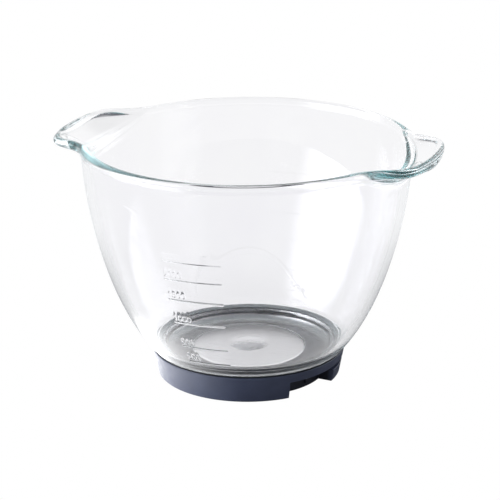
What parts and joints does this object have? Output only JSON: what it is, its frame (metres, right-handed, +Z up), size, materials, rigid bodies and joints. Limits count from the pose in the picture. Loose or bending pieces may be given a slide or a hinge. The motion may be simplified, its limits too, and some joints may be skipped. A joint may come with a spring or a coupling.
{
  "type": "stand mixer glass bowl",
  "caption": "Clear pressed-glass stand-mixer bowl with wing handles at the rim and a volume scale, on a twist-off plastic bayonet base ring with a rubber gasket.",
  "frame": {"origin": "on the ground under the bowl's axis, at the middle of the base ring's bottom face", "axes": "+Z up along the bowl's axis, X through the two wing handles, -Y towards the front volume scale"},
  "size_m": [0.278, 0.2364, 0.174],
  "materials": {
    "clear_glass": "polished, faint green-blue tint in thick sections",
    "slate_plastic": "satin",
    "black_rubber": "matt"
  },
  "bodies": {
    "base": {"base_ring": "slate_plastic", "gasket": "black_rubber"},
    "bowl": {"glass_bowl": "clear_glass"}
  },
  "joints": [
    {"name": "twist_lock", "type": "hinge", "parent": "base", "child": "bowl", "pos_m": [0, 0, 0.0174], "axis": [0, 0, 1], "range_deg": [0, 60]}
  ]
}
